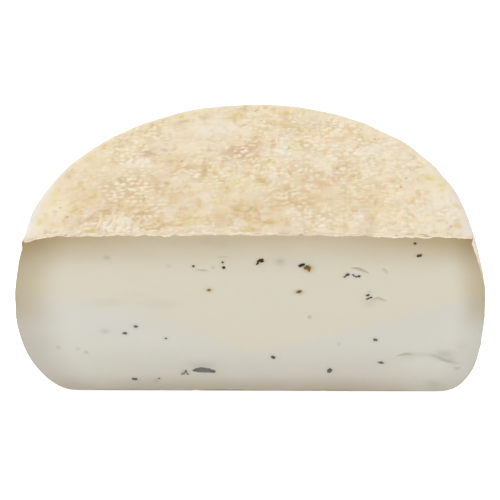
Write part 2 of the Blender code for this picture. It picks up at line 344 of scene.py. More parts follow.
def beads(across, along):
    """Height, from 0 to 1, of the beads that the rind formed in the openings between the threads."""
    column, row = math.floor(across / BEAD_PITCH[0]), math.floor(along / BEAD_PITCH[1])
    highest = 0.0
    for near_column in (column - 1, column, column + 1):
        for near_row in (row - 1, row, row + 1):
            luck = noise.cell_vector(Vector((near_column + 0.5, near_row + 0.5, 0.5)))
            if luck.z < MISSING_BEADS:
                continue
            gap_across = across - (near_column + 0.5 + (luck.x - 0.5) * BEAD_JITTER) * BEAD_PITCH[0]
            gap_along = along - (near_row + 0.5 + (luck.y - 0.5) * BEAD_JITTER) * BEAD_PITCH[1]
            size = mix(*BEAD_SIZES, (luck.x + luck.y) % 1.0)
            gap = (gap_across / BEAD_HALF_SIZE[0] / size) ** 2 + (gap_along / BEAD_HALF_SIZE[1] / size) ** 2
            if gap < 1:
                height = mix(LOWEST_BEAD, 1.0, (luck.z - MISSING_BEADS) / (1 - MISSING_BEADS))
                highest = max(highest, min(1.0, BEAD_FULLNESS * (1 - gap)) * height)
    return highest


def scattered_pit(across, along):
    """1 in the middle of the few small holes of the side and the base, 0 away from them."""
    column, row = math.floor(across / PIT_PITCH), math.floor(along / PIT_PITCH)
    luck = noise.cell_vector(Vector((column + 0.5, row + 0.5, 3.5)))
    middle_across = (column + mix(0.1, 0.9, luck.x)) * PIT_PITCH
    middle_along = (row + mix(0.1, 0.9, luck.y)) * PIT_PITCH
    gap = math.hypot(across - middle_across, along - middle_along) / (PIT_RADIUS * mix(*PIT_SIZES, luck.z))
    return max(0.0, 1 - gap * gap)


def top_pit(place):
    """The same for the holes of the top, whose places the photograph shows."""
    gap = min(math.hypot(place.x - x / 1000, place.y - y / 1000) for x, y in TOP_PITS) / TOP_PIT_RADIUS
    return max(0.0, 1 - gap * gap)


def two_noises(place, size, first, second):
    """A level vector of two noises, of patches about size across, from two places."""
    near = place / size
    return Vector((noise.noise(near + Vector((first, 0, 0))), noise.noise(near + Vector((0, second, 0)))))


def cloth_marks(even, place):
    """(rise, marks): metres of relief, and how strongly, from 0 to 1, each kind of mark shows."""
    on_top = even.z > HEIGHT - SHOULDER / 2
    loose = noise.noise(place / MARK_PATCH_SIZE + Vector((3, 8, 2)))
    sway = two_noises(place, SWAY_SIZE, 5, 9)
    groove = 0.0
    if on_top:
        across, along = place.x, place.y
        past_flat = soft(math.hypot(even.x, even.y), FLAT_RADIUS - SHOULDER_FADE, FLAT_RADIUS + SHOULDER_FADE)
        strength = mix(1.0, LEAST_MARKS, past_flat)
        east, north = (across + TOP_SWAY * sway.x) * 1000, (along + TOP_SWAY * sway.y) * 1000
        smooth = blot(east, north, SMOOTH)
        beaded = max(0.5 + 0.5 * loose, blot(east, north, BEADED)) * (1 - smooth)
        folded = max(blot(east, north, FOLDED), 0.8 * soft(loose, 0.3, 0.6)) * (1 - smooth)
        hole = top_pit(place)
        gap, share = near_line(place.x * 1000, place.y * 1000, WINDING_GROOVE)
        groove = soft(gap, GROOVE_HALF_WIDTH * mix(1.1, 0.6, share), 0.1)
    else:
        across, along = math.atan2(even.y, even.x) * WIDEST_RADIUS, place.z + 1.0
        near_top = soft(place.z, HEIGHT - TOP_FADE_START, HEIGHT - TOP_FADE_END)
        strength = mix(0.8, 0.1, near_top) * mix(LEAST_MARKS, 1.0, soft(place.y, 0.0, CUT_FADE))
        beaded, folded = mix(0.3, 0.8, soft(loose, -0.3, 0.35)), 0.8 * soft(loose, 0.25, 0.5)
        hole = scattered_pit(across, along)
    bead = beads(across + BEAD_SWAY * sway.x, along + BEAD_SWAY * sway.y) * beaded * strength
    winding = noise.noise(Vector((across / FOLD_SIZE[0], along / FOLD_SIZE[1], 1.0)) + sway.to_3d() * 0.9)
    fold = max(0.0, 1 - abs(winding) * 2.6) * folded * strength
    creased = noise.noise(Vector((across / CREASE_SIZE[0], along / CREASE_SIZE[1], 4.0)) + sway.to_3d() * 0.4)
    crease = soft(creased, 0.3, 0.55) * strength
    if on_top and RIDGES_REACH[0] < east < RIDGES_REACH[1] and north < RIDGES_REACH[2]:
        gap = min(near_line(east, north, line)[0] for line in RIDGES) / RIDGE_HALF_WIDTH
        fold = max(fold * soft(gap, 2.0, 3.5), 0.8 * max(0.0, 1 - gap * gap))
        folded = max(folded, 0.8 * soft(gap, 2.4, 1.2))
    rise = BEAD_HEIGHT * bead * (1 - fold) + FOLD_HEIGHT * fold - CREASE_DEPTH * crease
    rise += GRAIN_HEIGHT * noise.noise(place / GRAIN_SIZE) - PIT_DEPTH * hole - GROOVE_DEPTH * groove
    gaps = max(beaded, folded) * strength * soft(max(bead, fold), 0.35, 0.0)
    hollow = max(hole, 0.35 * crease, 0.4 * groove)
    return rise, {"raised": max(bead, 0.35 * fold), "hollow": hollow, "gaps": gaps}


def rind_point(even):
    """(place, marks): where a point of the even wheel lies on the real rind, and its cloth marks."""
    place = hand_made(even)
    rise, marks = cloth_marks(even, place)
    free = ramp(place.z, SAME_POINT, SMOOTH_FOOT_HEIGHT)
    move = facing(even) * (solid_relief(place) + rise) - Vector((0.0, 0.0, top_drop(place)))
    return place + move * free, marks


def base_point(even):
    """The same on the base, whose marks only go inwards, so that it still stands flat."""
    place = hand_made(even)
    marks = cloth_marks(even, place)[1]
    inside = soft(math.hypot(even.x, even.y), FOOT_RADIUS, FOOT_RADIUS - BASE_RIM)
    inside *= soft(even.y, 0.0, BASE_RIM / 2)
    dip = BASE_DIP * (1 - marks["raised"]) + 0.5 * PIT_DEPTH * marks["hollow"]
    return place + Vector((0.0, 0.0, dip * inside)), marks


# Coloured patches of the top, in the same terms as its marks. The pale ones are painted light, which makes
# the top lighter on the right and towards the back.
STRAW_PATCHES = [
    (-74, 8, 1.3, 2.2, 1), (-72, 11, 1, 2, 0.9), (-70, 22, 1.2, 4, 0.6), (-60, 45, 1.9, 1.8, 0.8),
    (-56, 22, 2.6, 1.8, 0.7), (-55, 3, 2, 1.3, 1), (12, 74, 4, 1, 0.7), (37, 61, 1.6, 1.4, 0.9),
    (41, 59, 1.4, 1.4, 0.8), (44, 55, 1.4, 1.7, 1), (60, 45, 1.3, 1.8, 0.8), (66, 33, 3.4, 2, 1),
    (69, 29, 1.8, 1.6, 1), (74, 17, 1, 1.7, 1), (-4, 29, 2.6, 2, 0.6), (-20, 6, 6, 1.8, 0.5),
]
OCHRE_PATCHES = [
    (-61, 13, 3.2, 1.6, 0.8), (-34, 20, 2.4, 1.4, 0.8), (-37, 7, 2, 1.4, 0.7), (-30, 28, 1, 1.4, 1),
    (-3, 76, 2, 1.4, 0.8), (-24, 68, 2.2, 1, 0.7), (-35, 50, 1.9, 1.1, 0.7), (8, 53, 1, 2.6, 0.9),
    (5, 30, 3, 2.4, 0.8), (-23, 26, 3.2, 1.3, 1), (-8, 25, 2.2, 2, 0.9), (-6, 5, 2.4, 1.3, 0.8),
    (1, 3, 1.8, 1.1, 1), (-4, 14, 3, 1.6, 0.7), (2, 14, 3, 2, 0.7), (7, 7, 4, 2, 0.7), (0, 10, 9, 6, 0.6),
    (-14, 8, 8, 5, 0.5), (-24, 24, 7, 3, 0.5), (20, 18, 10, 4, 0.4), (40, 12, 10, 4, 0.4),
    (-36, 12, 6, 4, 0.4), (20, 62, 1.9, 1.7, 0.8), (26, 35, 3.4, 2, 0.6), (36, 9, 3.4, 1.6, 0.9),
    (39, 13, 4.6, 1.3, 0.6), (-15, 39, 2, 1.4, 0.6), (-24, 10, 1.8, 1.3, 0.8),
]
TAN_PATCHES = [
    (-25, 39, 8, 5, 0.8), (28, 28, 6, 5, 0.7), (1, 12, 11, 7, 0.8), (20, 18, 12, 6, 0.6),
    (43, 18, 14, 5, 0.6), (-46, 16, 12, 7, 0.7), (35, 35, 5, 4, 0.5), (-25, 20, 10, 8, 0.5),
    (-8, 74, 10, 3, 0.4), (22, 64, 8, 6, 0.5), (-3, 48, 9, 8, 0.5), (-30, 8, 10, 5, 0.5),
    (55, 30, 8, 8, 0.3),
]
ROSE_PATCHES = [
    (-46, 23, 3.6, 2, 0.9), (-38, 47, 3, 1.4, 0.9), (-2, 47, 6.5, 5.5, 0.8), (43, 7, 4.4, 3.4, 0.8),
    (-42, 32, 4, 3.6, 0.6), (48, 28, 2, 1.8, 0.7), (23, 66, 3.8, 2, 0.7), (-58, 8, 3.6, 2, 0.5),
    (44, 1, 6, 1.5, 0.4),
]
BLOOM_PATCHES = [
    (-40, 42, 5, 4, 0.8), (12, 49, 4, 4.4, 0.8), (9, 33, 2.2, 3, 0.8), (-14, 62, 9, 7, 0.8),
    (-35, 60, 2.6, 2, 0.8), (64, 4, 4.4, 2, 0.9), (76, 7, 2.2, 4, 0.9), (-32, 17, 1.3, 1.8, 1),
    (-15, 21, 3.4, 3, 0.7), (33, 50, 5.6, 3.6, 0.6), (-69, 12, 3, 2.2, 0.6), (52, 53, 4.6, 3, 0.6),
    (74, 12, 5, 12, 0.8), (-76, 6, 3, 8, 0.7), (20, 3, 12, 1.8, 0.4), (67, 18, 9, 10, 0.6),
    (60, 42, 9, 11, 0.5), (30, 68, 12, 6, 0.35),
]
DARK_PATCHES = [
    (-16, 36, 1.6, 1.3, 0.7), (6, 62, 1.1, 1.1, 0.7), (68, 8, 1.3, 0.9, 0.8), (72, 4, 1.1, 0.9, 0.7),
    (-47, 31, 1.3, 1.3, 0.9), (-32, 49, 1.5, 0.9, 0.9), (-27, 67, 2, 0.9, 0.7), (-38, 47, 2, 0.8, 0.8),
    (-3, 65, 1, 1, 0.9), (-29, 42, 1.2, 0.9, 0.8), (-53, 8, 1.6, 0.9, 0.6), (-50, 12, 2.4, 0.9, 0.5),
]
# Painted light: the top lighter on the right and towards the back.
PAINTED_LIGHT_PATCHES = [(62, 24, 22, 34, 0.75), (34, 58, 20, 20, 0.45), (-2, 66, 12, 10, 0.3), (78, 14, 5, 16, 1)]
PATCHES = {
    "straw": STRAW_PATCHES, "ochre": OCHRE_PATCHES, "tan": TAN_PATCHES, "rose": ROSE_PATCHES,
    "bloom": BLOOM_PATCHES, "dark": DARK_PATCHES, "pale": PAINTED_LIGHT_PATCHES,
}

PATCH_EDGE_SIZE = 0.0026
PATCH_EDGE_SHIFT = 1.3


def top_patches(place):
    """How strongly each kind of patch colours a point of the top. Noise makes the patches' edges uneven."""
    shift = two_noises(place, PATCH_EDGE_SIZE, 2, 2) * PATCH_EDGE_SHIFT
    across, back = place.x * 1000 + shift.x, place.y * 1000 + shift.y
    return {name: blot(across, back, spots) for name, spots in PATCHES.items()}


def half_disc_share(across, back):
    """(radius, turn) of a point of a grid over -1 to 1 and 0 to 1, bent to a half disc of radius 1."""
    disc_across = across * math.sqrt(1 - back * back / 2)
    disc_back = back * math.sqrt(1 - across * across / 2)
    return math.hypot(disc_across, disc_back), math.atan2(disc_back, disc_across)


def half_grid(cells):
    """A bmesh grid over -1 to 1 and 0 to 1, twice as many cells wide as deep."""
    bm = bmesh.new()
    bmesh.ops.create_grid(bm, x_segments=2 * cells, y_segments=cells, size=1.0)
    for vert in bm.verts:
        vert.co.y = (vert.co.y + 1) / 2
    return bm


def layers_of(bm, *names):
    """New number layers of a bmesh, by name, for its finish to read."""
    return {name: bm.verts.layers.float.new(name) for name in names}


def note(vert, layers, numbers):
    """Keeps some named numbers with a point."""
    for name, number in numbers.items():
        vert[layers[name]] = number


def new_verts(made):
    """The points among what a bmesh operator made."""
    return [item for item in made["geom"] if isinstance(item, bmesh.types.BMVert)]


def close_inwards(bm, inward):
    """Makes a closed slab of an open sheet: its border is drawn inwards, and one face closes the inside."""
    border = [edge for edge in bm.edges if edge.is_boundary]
    made = bmesh.ops.extrude_edge_only(bm, edges=border)
    inner = [item for item in made["geom"] if isinstance(item, bmesh.types.BMEdge) and item.is_boundary]
    for vert in new_verts(made):
        vert.co += inward(vert.co)
    bmesh.ops.edgeloop_fill(bm, edges=inner)


def in_scene(name, data):
    """A new object in the scene."""
    thing = bpy.data.objects.new(name, data)
    bpy.context.scene.collection.objects.link(thing)
    return thing


def as_object(bm, name, material):
    """The object that a bmesh is turned into."""
    mesh = bpy.data.meshes.new(name)
    bm.to_mesh(mesh)
    bm.free()
    mesh.materials.append(material)
    return in_scene(name, mesh)


def finish_piece(bm, name, material, sharp_angle=50):
    """Turns a bmesh into a finished object that stands for the solid, on the solid's cut plane."""
    bmesh.ops.recalc_face_normals(bm, faces=bm.faces)
    bmesh.ops.translate(bm, verts=bm.verts, vec=(0.0, CUT_Y, 0.0))
    piece = as_object(bm, name, material)
    piece.data.shade_smooth()
    piece.data.set_sharp_from_angle(angle=math.radians(sharp_angle))
    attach(piece, "root")
    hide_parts(SOLID)


def cut_plane():
    """The y of the cut plane, where the front edge of the solid's base is."""
    return min(vert.co.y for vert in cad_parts[SOLID].data.vertices if vert.co.z < SAME_POINT)


CUT_Y = cut_plane()


def arithmetic(operation, reflected=False):
    """What Python's sign for an operation does with a Value: it adds a Math node."""

    def combined(value, other):
        first, second = (other, value) if reflected else (value, other)
        return value.finish.add("Math", {"operation": operation}, {0: first, 1: second})

    return combined


class Value:
    """The output of a node. Arithmetic on it adds Math nodes to its material."""

    __add__, __radd__ = arithmetic("ADD"), arithmetic("ADD", reflected=True)
    __sub__, __rsub__ = arithmetic("SUBTRACT"), arithmetic("SUBTRACT", reflected=True)
    __mul__, __rmul__ = arithmetic("MULTIPLY"), arithmetic("MULTIPLY", reflected=True)

    def __init__(self, finish, socket):
        self.finish = finish
        self.socket = socket

    def between(self, start, end):
        """Eased from 0 at start to 1 at end."""
        settings = {"interpolation_type": "SMOOTHSTEP"}
        return self.finish.add("MapRange", settings, {"Value": self, "From Min": start, "From Max": end})


# The sockets of a Mix node that mixes colours.
MIX_SHARE, MIX_GROUND, MIX_OVER, MIX_RESULT = 0, 6, 7, 2


class Finish:
    """A material under way: its node tree, and the shader at its end."""

    def __init__(self, name):
        self.material = bpy.data.materials.new(name)
        self.material.use_nodes = True
        self.tree = self.material.node_tree
        self.shader = self.tree.nodes["Principled BSDF"]
        self.place = self.add("TexCoord", output="Object")

    def add(self, kind, settings=None, inputs=None, output=0):
        """Adds a node of a kind, sets it up, feeds its sockets and gives one of its outputs."""
        node = self.tree.nodes.new("ShaderNode" + kind)
        for name, value in (settings or {}).items():
            setattr(node, name, value)
        for key, value in (inputs or {}).items():
            self.feed(node.inputs[key], value)
        return Value(self, node.outputs[output])

    def feed(self, socket, value):
        """Links a Value to a socket, or sets the socket."""
        if isinstance(value, Value):
            self.tree.links.new(value.socket, socket)
        else:
            socket.default_value = value

    def set(self, **inputs):
        """Feeds the shader's sockets. An underscore in a name stands for a space."""
        for name, value in inputs.items():
            self.feed(self.shader.inputs[name.replace("_", " ")], value)

    def cloud(self, size, seed, detail, stretch=(1.0, 1.0, 1.0)):
        """Soft noise from 0 to 1, with patches about size across, drawn out by stretch."""
        shift = (seed, seed * 2, seed * 3)
        scale = tuple(1 / (size * longer) for longer in stretch)
        moved = self.add("Mapping", {}, {"Vector": self.place, "Location": shift, "Scale": scale})
        return self.add("TexNoise", {}, {"Vector": moved, "Scale": 1.0, "Detail": detail})

    def tint(self, ground, colour, share, blend="MIX"):
        """ground with a share of another colour over it."""
        settings = {"data_type": "RGBA", "blend_type": blend}
        return self.add("Mix", settings, {MIX_SHARE: share, MIX_GROUND: ground, MIX_OVER: colour}, MIX_RESULT)

    def shade(self, ground, colour, share):
        """ground, darkened by a share of a colour."""
        return self.tint(ground, colour, share, "MULTIPLY")

    def attribute(self, name):
        """A number that the mesh holds for each of its points."""
        return self.add("Attribute", {"attribute_name": name}, output="Fac")

    def axis(self, name):
        """The X, Y or Z of the point that is shaded."""
        return self.add("SeparateXYZ", {}, {0: self.place}, output=name)

    def bump(self, height, distance, strength):
        """A normal that a height from 0 to 1 tilts, for a relief that is distance deep."""
        return self.add("Bump", {}, {"Strength": strength, "Distance": distance, "Height": height})


def linear(part):
    """A colour part from 0 to 255, as a screen shows it, made linear."""
    part = part / 255
    return part / 12.92 if part <= 0.04045 else ((part + 0.055) / 1.055) ** 2.4


def colour(red, green, blue):
    """A screen colour as Blender wants it."""
    return (linear(red), linear(green), linear(blue), 1.0)


RIND_CREAM = colour(237, 222, 191)
RIND_TAN = colour(221, 193, 148)
RIND_OCHRE = colour(212, 182, 122)
RIND_ROSE = colour(220, 192, 166)
RIND_BLOOM = colour(238, 231, 216)
RIND_STRAW = colour(226, 214, 148)
RIND_WORN_AND_HIGHLIGHT = colour(252, 240, 214)
RIND_PAINTED_LIGHT = colour(250, 236, 202)
RIND_GROOVE = colour(194, 160, 114)
RIND_SMUDGE = colour(178, 155, 122)
RIND_HOLE = colour(150, 122, 90)
RIND_RIM = colour(233, 225, 216)

# Clouds of colour all over the rind: colour, size, seed, detail, where the noise starts and where it is full,
# and share.
RIND_CLOUDS = [
    (RIND_TAN, 0.011, 3.1, 3.0, 0.50, 0.72, 0.45),
    (RIND_ROSE, 0.013, 7.7, 3.0, 0.54, 0.72, 0.4),
    (RIND_STRAW, 0.009, 5.3, 2.0, 0.56, 0.76, 0.4),
    (RIND_BLOOM, 0.015, 9.4, 3.0, 0.52, 0.70, 0.45),
]

# The colours of the top's patches, and how much of each is laid on evenly and unevenly.
PATCH_COLOURS = [
    ("pale", RIND_PAINTED_LIGHT, 0.7, 0.0), ("tan", RIND_TAN, 0.6, 0.4), ("bloom", RIND_BLOOM, 0.85, 0.0),
    ("rose", RIND_ROSE, 0.0, 1.0), ("ochre", RIND_OCHRE, 0.0, 1.0), ("straw", RIND_STRAW, 0.5, 0.5),
]


def rind_finish():
    """Dry rind: cream with tan, rosy, straw and whitish patches, paler on what stands out of it: wear and
    painted highlight.
    """
    finish = Finish("dry_rind")
    raised, hollow = finish.attribute("raised"), finish.attribute("hollow")
    ground = RIND_CREAM
    for tone, size, seed, detail, start, full, share in RIND_CLOUDS:
        ground = finish.tint(ground, tone, finish.cloud(size, seed, detail).between(start, full) * share)
    uneven = finish.cloud(0.0022, 6.6, 3.0).between(0.32, 0.62)
    # The pale patches paint light on the right of the top and towards its back.
    for name, tone, even_share, uneven_share in PATCH_COLOURS:
        ground = finish.tint(ground, tone, finish.attribute(name) * (uneven * uneven_share + even_share))
    flecks = finish.cloud(0.0037, 8.3, 4.0, stretch=(1.0, 1.5, 1.0))
    ground = finish.tint(ground, RIND_OCHRE, flecks.between(0.52, 0.70) * 0.5)
    ground = finish.tint(ground, RIND_BLOOM, (1 - flecks).between(0.54, 0.72) * 0.5)
    # Browner in the gaps between the beads: partly the rind's own colour, partly painted shade.
    gaps = finish.attribute("gaps") * (finish.cloud(0.0045, 2.2, 3.0).between(0.36, 0.62) * 0.75 + 0.25)
    ground = finish.tint(ground, RIND_GROOVE, gaps * 0.6)
    ground = finish.tint(ground, RIND_SMUDGE, finish.attribute("dark") * 0.6)
    # Paler on the beads' tops: partly wear, partly painted highlight.
    ground = finish.tint(ground, RIND_WORN_AND_HIGHLIGHT, raised.between(0.15, 0.9) * 0.65)
    rim = finish.attribute("rim") * finish.cloud(0.006, 4.9, 2.0).between(0.2, 0.5)
    ground = finish.tint(ground, RIND_RIM, rim * 0.85)
    ground = finish.tint(ground, RIND_HOLE, hollow.between(0.1, 1.0) * 0.6)
    finish.set(Base_Color=ground, Roughness=0.72)
    grain = finish.cloud(0.0006, 1.7, 3.0)
    finish.set(Normal=finish.bump(grain, 0.00012, 0.5))
    finish.set(Subsurface_Weight=0.08, Subsurface_Scale=0.002)
    return finish.material


PASTE_HEART = colour(215, 209, 190)
PASTE_LOWER = colour(211, 208, 197)
PASTE_SMEAR = colour(214, 211, 203)
PASTE_STAIN_AND_SHADOW = colour(148, 148, 134)
PASTE_WARM_STAIN = colour(190, 152, 78)
PASTE_SLIT_SHADE = colour(160, 154, 124)
# SHADE_TOP, SHADE_BROW and SHADE_FOOT are partly painted shade, under the top's lip and along the base, and
# partly the paste's own tone. The side shades are the paste's own tone under the rind.
SHADE_TOP = colour(238, 228, 215)
SHADE_SIDE_UPPER = colour(222, 212, 192)
SHADE_SIDE_LOWER = colour(231, 227, 224)
SHADE_FOOT = colour(224, 216, 204)
SHADE_BROW = colour(228, 217, 192)

# How far the shades reach into the cut from its edges, and where along or up the cut they change.
TOP_SHADE_REACH, TOP_EDGE_SHADE_REACH = 0.021, 0.006
TOP_EDGE_SHARE = 0.35
FOOT_SHADE_REACH, FOOT_EDGE_SHADE_REACH = 0.026, 0.0095
FOOT_EDGE_SHARE = 0.62
FOOT_SHADE_FADES = (0.036, 0.080)
LEFT_SHADE_REACH, RIGHT_SHADE_REACH = 0.019, 0.012
LEFT_TO_RIGHT = (-0.03, 0.03)
SIDE_TURNS_YELLOW = (0.026, 0.044)
RIGHT_CORNER = (0.060, 0.078)
BROW_SHADE_REACH = 0.016
BROW_MIDDLE_SHARE = 0.25
BROW_DEEPENS = (0.026, 0.072)
MOTTLE_SIZE = 0.018
HEIGHT_MOTTLE, SIDE_MOTTLE = 0.004, 0.006


def paste_ground(finish):
    """Ivory paste: greyer low down, darker and yellower under the rind, with smears, stains and painted
    shade.
    """
    mottle = finish.cloud(MOTTLE_SIZE, 4.4, 2.0) - 0.5
    across, height = finish.axis("X"), finish.axis("Z") + mottle * HEIGHT_MOTTLE
    distance = finish.add("Math", {"operation": "ABSOLUTE"}, {0: across})
    leftness = 1 - across.between(*LEFT_TO_RIGHT)
    reach = leftness * (LEFT_SHADE_REACH - RIGHT_SHADE_REACH) + RIGHT_SHADE_REACH
    side = 1 - (finish.attribute("side_gap") + mottle * SIDE_MOTTLE).between(0.0, reach)
    upper = height.between(*SIDE_TURNS_YELLOW)
    corner = across.between(*RIGHT_CORNER)
    # Painted shade of the lip's shadow, over the paste's own yellower tone under the top.
    near_top = height.between(HEIGHT - TOP_SHADE_REACH, HEIGHT) * (1 - TOP_EDGE_SHARE)
    near_top = near_top + height.between(HEIGHT - TOP_EDGE_SHADE_REACH, HEIGHT) * TOP_EDGE_SHARE
    # Painted shade along the base, over the paste's own greyer tone there.
    near_foot = (1 - height.between(0.0, FOOT_SHADE_REACH)) * (1 - FOOT_EDGE_SHARE)
    near_foot = near_foot + (1 - height.between(0.001, FOOT_EDGE_SHADE_REACH)) * FOOT_EDGE_SHARE
    near_foot = near_foot * (1 - distance.between(*FOOT_SHADE_FADES) * 0.75)
    # Painted shade under the lip in the top corners, over the paste's own yellower tone there.
    brow = distance.between(*BROW_DEEPENS) * (1 - BROW_MIDDLE_SHARE) + BROW_MIDDLE_SHARE
    brow = height.between(HEIGHT - BROW_SHADE_REACH, HEIGHT) * brow
    ground = finish.tint(PASTE_HEART, PASTE_LOWER, finish.attribute("lower"))
    ground = finish.tint(ground, PASTE_SMEAR, finish.attribute("smear"))
    ground = finish.shade(ground, SHADE_TOP, near_top)
    ground = finish.shade(ground, SHADE_BROW, brow)
    ground = finish.shade(ground, SHADE_SIDE_UPPER, side * upper)
    ground = finish.shade(ground, SHADE_SIDE_LOWER, side * (1 - upper) * (1 - corner * 0.5))
    ground = finish.shade(ground, SHADE_FOOT, near_foot)
    # The stain colour also paints shadow above the flap of paste at the lower right.
    ground = finish.tint(ground, PASTE_STAIN_AND_SHADOW, finish.attribute("stain_and_shadow"))
    ground = finish.tint(ground, PASTE_WARM_STAIN, finish.attribute("warm_stain"))
    # Painted shade in the slits and creases, over their shallow dents.
    return finish.tint(ground, PASTE_SLIT_SHADE, finish.attribute("slit"))


def paste_finish():
    """The cut face's own finish: smooth and slightly moist, with faint marks of the knife."""
    finish = Finish("ivory_paste")
    finish.set(Base_Color=paste_ground(finish), Roughness=0.5)
    grain = finish.cloud(0.0012, 6.1, 3.0, stretch=(3.0, 1.0, 1.0))
    finish.set(Normal=finish.bump(grain, 0.00006, 0.5))
    finish.set(Subsurface_Weight=0.25, Subsurface_Scale=0.002)
    return finish.material


EDGE_PALE = colour(243, 229, 202)
EDGE_ROSE = colour(231, 211, 187)
EDGE_CRACK = colour(140, 120, 96)


def edge_finish():
    """The rind's cut edge: pale and rosy where the rind shows, and like the paste where it doesn't."""
    finish = Finish("cut_rind")
    crust = finish.tint(EDGE_PALE, EDGE_ROSE, finish.cloud(0.005, 8.8, 2.0).between(0.45, 0.65) * 0.8)
    cracks = finish.cloud(0.0014, 5.5, 2.0, (2.5, 1.0, 1.0)).between(0.64, 0.76) * 0.8
    crust = finish.tint(crust, EDGE_CRACK, cracks)
    crust = finish.tint(crust, EDGE_CRACK, finish.attribute("torn"))
    ground = finish.tint(paste_ground(finish), crust, finish.attribute("crust"))
    finish.set(Base_Color=ground, Roughness=0.65)
    finish.set(Normal=finish.bump(finish.cloud(0.0005, 1.3, 3.0), 0.00012, 0.6))
    return finish.material


TRUFFLE_BLACK = colour(50, 36, 28)
TRUFFLE_OLIVE = colour(118, 96, 40)
TRUFFLE_GREY = colour(122, 120, 116)
TRUFFLE_VEIN = colour(120, 104, 84)


def truffle_finish():
    """Chopped black truffle with pale veins; grey where a film of paste covers it."""
    finish = Finish("black_truffle")
    veins = finish.cloud(0.0006, 2.9, 2.0).between(0.55, 0.70)
    ground = finish.tint(TRUFFLE_BLACK, TRUFFLE_VEIN, veins * 0.4)
    ground = finish.tint(ground, TRUFFLE_OLIVE, finish.attribute("olive"))
    ground = finish.tint(ground, TRUFFLE_GREY, finish.attribute("film"))
    finish.set(Base_Color=ground, Roughness=0.7, Specular_IOR_Level=0.25)
    finish.set(Normal=finish.bump(finish.cloud(0.0004, 3.3, 2.0), 0.0001, 0.6))
    return finish.material


def frange(start, end, spacing):
    """Numbers from start to end, about spacing apart."""
    count = round((end - start) / spacing)
    return [start + (end - start) * step / count for step in range(count + 1)]


def behind_cut(place):
    """The place, moved back a little where it is near the cut, so that the cut edge covers it."""
    return Vector((place.x, math.hypot(place.y, RIND_BEHIND_CUT), place.z))


# Where the whitish rim between top and side, and the one down the cut's right end, fade.
RIM_BEHIND = (0.042, 0.016)
RIM_INWARD = (FLAT_RADIUS - 0.0005, FLAT_RADIUS + 0.0015)
RIM_DOWN = (HEIGHT - 0.034, HEIGHT - 0.016)
RIGHT_END_BACK, RIGHT_END_DOWN = (0.014, 0.004), (0.034, 0.052)
RIM_BEHIND_SHARE, RIM_RIGHT_SHARE = 0.2, 0.85


def rim_share(even):
    """How whitish the edge between top and side is: 1 near the cut, less behind, 0 away from the edge."""
    on_edge = soft(math.hypot(even.x, even.y), *RIM_INWARD) * soft(even.z, *RIM_DOWN)
    on_edge *= mix(RIM_BEHIND_SHARE, 1.0, soft(even.y, *RIM_BEHIND))
    on_edge *= 1.0 if even.x < 0 else RIM_RIGHT_SHARE
    right_end = soft(even.y, *RIGHT_END_BACK) * soft(even.z, *RIGHT_END_DOWN) if even.x > FLAT_RADIUS else 0.0
    return max(on_edge, right_end)


def make_rind_top(material):
    """The top with its shoulder, down to a seam on the side. Its grid's rows run along the cut."""
    bm = half_grid(TOP_CELLS)
    layers = layers_of(bm, *MARKS, "rim", *PATCHES)
    for vert in bm.verts:
        radius, turn = half_disc_share(vert.co.x, vert.co.y)
        even = even_point(radius * SEAM_RUN, turn)
        place, marks = rind_point(even)
        vert.co = behind_cut(place)
        note(vert, layers, {**marks, **top_patches(place), "rim": rim_share(even)})

    def under_top(place):
        return -facing(Vector((place.x, place.y, min(place.z, HEIGHT)))) * RIND_THICKNESS

    close_inwards(bm, under_top)
    finish_piece(bm, "rind_top", material)


def into_side(even):
    """From the side's outside to its inside, never quite straight up."""
    out = facing(even)
    return -Vector((max(out.x, 0.5), out.y, out.z)).normalized() * RIND_THICKNESS


def make_rind_side(material):
    """The side, turned from its outline, which goes down outside and up again a rind's thickness inside."""
    bm = bmesh.new()
    profile = [bm.verts.new(even_point(run, 0.0)) for run in frange(SEAM_RUN, FOOT_RUN, SIDE_SPACING)]
    for run in frange(FOOT_RUN, SEAM_RUN, (SEAM_RUN - FOOT_RUN) / INSIDE_POINTS):
        even = even_point(run, 0.0)
        profile.append(bm.verts.new(even + into_side(even)))
    edges = [bm.edges.new(pair) for pair in zip(profile, profile[1:] + profile[:1])]
    around = {"cent": (0, 0, 0), "axis": (0, 0, 1), "angle": math.pi}
    bmesh.ops.spin(bm, geom=profile + edges, steps=SIDE_STEPS, use_merge=False, **around)
    open_edges = [edge for edge in bm.edges if edge.is_boundary]
    for end in (1, -1):
        bmesh.ops.contextual_create(bm, geom=[edge for edge in open_edges if edge.verts[0].co.x * end > 0])
    layers = layers_of(bm, *MARKS, "rim")
    for vert in bm.verts:
        even = vert.co.copy()
        depth = side_radius(even.z, 0.5) - math.hypot(even.x, even.y)
        if depth < RIND_THICKNESS / 4:
            place, marks = rind_point(even)
            note(vert, layers, {**marks, "rim": rim_share(even)})
        else:
            place = hand_made(even)
        vert.co = behind_cut(place)
    finish_piece(bm, "rind_side", material)


def into_base(place):
    """From the base's border up to its inside."""
    shrink = -RIND_THICKNESS / max(math.hypot(place.x, place.y), RIND_THICKNESS)
    on_cut = place.y < 2 * RIND_BEHIND_CUT
    return Vector((place.x * shrink, 0.0 if on_cut else place.y * shrink, RIND_THICKNESS))


def make_rind_base(material):
    """The base, with the cloth's marks pressed up into it."""
    bm = half_grid(BASE_CELLS)
    layers = layers_of(bm, *MARKS)
    for vert in bm.verts:
        radius, turn = half_disc_share(vert.co.x, vert.co.y)
        even = Vector((radius * FOOT_RADIUS * math.cos(turn), radius * FOOT_RADIUS * math.sin(turn), 0.0))
        place, marks = base_point(even)
        vert.co = behind_cut(place)
        note(vert, layers, marks)
    close_inwards(bm, into_base)
    finish_piece(bm, "rind_base", material)


